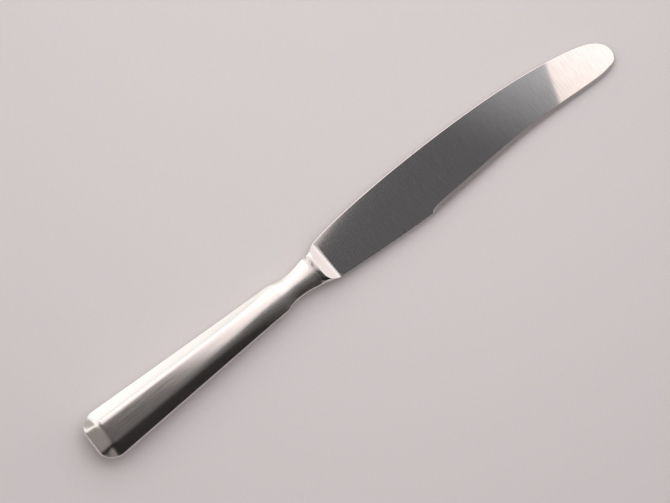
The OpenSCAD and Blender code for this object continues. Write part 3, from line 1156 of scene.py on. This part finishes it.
@dataclass(frozen=True)
class SoftBox:
    """A rectangular soft light, placed in the picture's directions: right, up the table and over it."""

    name: str
    use: LampUse
    place: Triple
    size: Pair
    radiance: float
    colour: str
    faces_knife: bool = False
    spin_deg: float = 0.0

    def make(self, studio: "Studio") -> None:
        """Makes the lamp, which faces the knife or hangs level over the table.

        Args:
            studio: gives the picture's directions.
        """
        place = studio.way(*self.place)
        width, height = self.size
        data = bpy.data.lights.new(self.name, "AREA")
        data.shape = "RECTANGLE"
        data.size, data.size_y = width, height
        data.color = linear(self.colour)[:3]
        data.energy = self.radiance * math.pi * width * height
        away = place.normalized() if self.faces_knife else Vector((0, 0, 1))
        across = studio.way(0, 1, 0).cross(away).normalized()
        turn = Matrix((across, away.cross(across), away)).transposed().to_4x4()
        turn = turn @ Matrix.Rotation(math.radians(self.spin_deg), 4, "Z")
        lamp = add_object(self.name, data)
        lamp.matrix_world = Matrix.Translation(place) @ turn
        lamp.visible_camera = False
        lamp.visible_diffuse = self.use is LampUse.TABLE
        lamp.visible_glossy = self.use is LampUse.MIRROR


@dataclass(frozen=True)
class Wall:
    """A part of the room that the metal mirrors: a colour that fades in along one or more directions.

    Each fade is a direction to the right, up the table and over it, with the share of the view along it
    where the colour starts and where it is full.
    """

    name: str
    colour: str
    glow: float
    fades: tuple[tuple[Triple, float, float], ...]


@dataclass
class Studio:
    """Table, camera and soft light round the knife.

    The knife leans on the table by its butt and its bolster, so in the knife's frame the table rises a
    little towards the tip. The camera's focal length is given in pixels of the picture's width.
    """

    form: HandleForm
    bolster_ridge_back: float
    camera_lean_deg: float = 5.375
    elevation_deg: float = 88.0
    turn_deg: float = 38.4357
    distance: float = 620.0
    aim_x: float = -7.112
    aim_y: float = 0.517
    focal_px: float = 1939.19
    picture_w_px: int = 670
    sensor_mm: float = 36.0
    clip: Pair = (0.01, 50.0)
    floor_half: float = 4000.0
    ceiling: str = "#524E4D"
    boxes: tuple[SoftBox, ...] = (
        SoftBox("table_fill", LampUse.TABLE, (-0.04, 0.31, 0.42), (0.6, 0.48), 1.2, "#FFFEFD", True),
        SoftBox("top_fill", LampUse.TABLE, (-0.02, 0.04, 0.33), (0.3, 0.24), 1.36, "#FFFCFB"),
        SoftBox("front_fill", LampUse.TABLE, (0.3, -1.2, 1.0), (1.0, 0.8), 0.75, "#FFFCFB", True),
        SoftBox("back_softbox", LampUse.MIRROR, (-0.22, 1.0, 0.6), (2.1, 0.68), 0.42, "#FFFEFC", True),
        SoftBox("tip_softbox", LampUse.MIRROR, (0.1216, 0.0806, 0.15), (0.05, 0.07), 0.86, "#FFE8DC",
                spin_deg=20.5),
        SoftBox("handle_softbox", LampUse.MIRROR, (-0.0703, 0.3146, 0.38), (0.51, 0.481), 1.0, "#FFF2EF",
                spin_deg=-36.9),
        SoftBox("collar_softbox", LampUse.MIRROR, (-0.184, 0.055, 0.38), (0.17, 0.07), 0.8, "#FFF2EF",
                spin_deg=-36.9))
    walls: tuple[Wall, ...] = (
        Wall("right_ceiling", "#656465", 1.0, (((1, 0, 0), 0.05, 0.12), ((0, 1, 0), -0.35, 0.0))),
        Wall("dark_front", "#272524", 1.0, (((0, -1, 0), 0.3, 0.72),)),
        Wall("back_wall", "#FFFAF7", 0.62, (((-0.6257, 0.78, 0), 0.15, 0.9),)),
        Wall("right_wall", "#FBFBFD", 0.8, (((0.35, 0.937, 0), 0.163, 0.2415), ((1, 0, 0), 0.06, 0.15))),
        Wall("right_low_wall", "#FFF5F4", 1.16, (((1, 0, 0), 0.5, 0.72), ((0, 1, 0), 0.0, 0.3))),
        Wall("left_front", "#8C8583", 1.0, (((-1, 0, 0), 0.05, 0.6), ((0, 1, 0), -0.85, -0.55))),
        Wall("left_wall", "#FFFAF6", 1.1, (((-1, 0, 0), 0.35, 0.72), ((0, 1, 0), -0.35, -0.05))),
        Wall("left_back_corner", "#ACA4A2", 1.0, (((-1, 0, 0), 0.85, 0.89), ((0, 1, 0), 0.0, 0.1))),
        Wall("front_foot", "#938C8A", 1.0, (((0, -1, 0), 0.905, 0.925),)))

    def floor_lean(self) -> float:
        """How steeply the table rises towards the tip.

        Returns:
            The angle in radians.
        """
        form = self.form
        ridge_x = form.front_x - self.bolster_ridge_back
        drop = form.butt_t / 2 - form.long_half(ridge_x, form.depths)
        return math.atan(drop / (ridge_x - form.end_len))

    def way(self, right: float, up: float, over: float) -> Vector:
        """Turns a place or direction in the picture into the knife's frame.

        Args:
            right: its part to the right.
            up: its part up the table.
            over: its part over the table.

        Returns:
            The same in the frame.
        """
        turn = math.radians(self.turn_deg)
        along = Vector((math.cos(turn), -math.sin(turn), 0)) * right
        return along + Vector((math.sin(turn), math.cos(turn), 0)) * up + Vector((0, 0, over))

    def camera(self) -> None:
        """Makes the scene's camera at the picture's viewing angle."""
        right = self.way(1, 0, 0)
        el = math.radians(self.elevation_deg)
        ahead = self.way(0, math.cos(el), -math.sin(el))
        aim = Vector((self.aim_x, self.aim_y, self.form.rest_h)) * MM
        turn = Matrix((right, (-ahead).cross(right), -ahead)).transposed().to_4x4()
        data = bpy.data.cameras.new("camera")
        data.sensor_width = self.sensor_mm
        data.lens = self.focal_px / self.picture_w_px * self.sensor_mm
        data.clip_start, data.clip_end = self.clip
        camera = add_object("camera", data)
        pivot = Matrix.Translation((0, 0, self.form.rest_h * MM))
        lean = pivot @ Matrix.Rotation(-math.radians(self.camera_lean_deg), 4, "Y") @ pivot.inverted()
        camera.matrix_world = lean @ Matrix.Translation(aim - ahead * self.distance * MM) @ turn
        bpy.context.scene.camera = camera

    def floor(self, top: bpy.types.Material) -> None:
        """Makes the table that the butt and the bolster touch, which is no part of the knife.

        Args:
            top: its finish.
        """
        form = self.form
        half = self.floor_half * MM
        mesh = bpy.data.meshes.new("table_top")
        corners = [(-half, -half, 0), (half, -half, 0), (half, half, 0), (-half, half, 0)]
        mesh.from_pydata(corners, [], [(0, 1, 2, 3)])
        mesh.materials.append(top)
        table = add_object("table_top", mesh)
        touch = Vector((form.end_len - HandleShell.frame_shift(), 0, 0)) * MM
        table.matrix_world = Matrix.Translation(touch) @ Matrix.Rotation(-self.floor_lean(), 4, "Y")

    def room(self) -> None:
        """Makes the room that the metal mirrors: pale at the back and sides, dim overhead, dark in front."""
        world = bpy.data.worlds.new("studio_room")
        bpy.context.scene.world = world
        world.use_nodes = True
        tree = world.node_tree
        tree.nodes.clear()
        view = add_node(tree, "ShaderNodeTexCoord").outputs["Generated"]
        colour: Any = linear(self.ceiling)
        for wall in self.walls:
            amount: Any = 1.0
            for direction, start, full in wall.fades:
                along = add_node(tree, "ShaderNodeVectorMath", {"operation": "DOT_PRODUCT"},
                                 {0: view, 1: self.way(*direction)})
                fade = add_node(tree, "ShaderNodeMapRange", {"interpolation_type": "SMOOTHSTEP"},
                                {"Value": along.outputs["Value"], "From Min": start, "From Max": full})
                both = add_node(tree, "ShaderNodeMath", {"operation": "MULTIPLY"},
                                {0: amount, 1: fade.outputs["Result"]})
                amount = both.outputs[0]
            glow = [wall.glow * part for part in linear(wall.colour)[:3]] + [1.0]
            laid = add_node(tree, "ShaderNodeMix", {"data_type": "RGBA", "label": wall.name},
                            {0: amount, 6: colour, 7: glow})
            colour = laid.outputs[2]
        light = add_node(tree, "ShaderNodeBackground", None, {"Color": colour, "Strength": 1.0})
        add_node(tree, "ShaderNodeOutputWorld", None, {"Surface": light.outputs[0]})

    def lights(self) -> None:
        """Makes the soft lights and the room."""
        for box in self.boxes:
            box.make(self)
        self.room()


def main() -> None:
    """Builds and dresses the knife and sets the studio."""
    logging.basicConfig(level=logging.INFO, format="%(name)s: %(message)s")
    bpy.context.scene.view_settings.view_transform = "Standard"
    form = HandleForm()
    blade = KnifeBlade(form)
    studio = Studio(form, blade.bevel_len)
    studio.camera()

    plate = SilverPlate(grip_x_mm=form.shoulder_x - HandleShell.frame_shift()).material()
    shells = [HandleShell(form, Side.UPPER, "upper_shell_plated", "upper_handle_shell"),
              HandleShell(form, Side.LOWER, "lower_shell_plated", "lower_handle_shell")]
    for shell in shells:
        piece = shell.build()
        shell.dress(plate)
        log.info("%s: %d faces", piece.name, len(piece.data.polygons))

    piece = blade.build()
    finishes = {SteelZone.BRUSHED: BrushedSteel(), SteelZone.POLISHED: PolishedSteel(),
                SteelZone.GROUND: GroundSteel(), SteelZone.FORGED: ForgedSteel()}
    blade.dress({zone: finish.material() for zone, finish in finishes.items()})
    log.info("%s: %d faces", piece.name, len(piece.data.polygons))

    for node, finish in (("seam_solder", HardSolder()), ("handle_cement", HandleFilling())):
        InnerNode(node).dress(finish.material())
        log.info("%s: packed solid in %s", node, finish.name)

    studio.floor(TableTop().material())
    studio.lights()


if __name__ == "__main__":
    main()
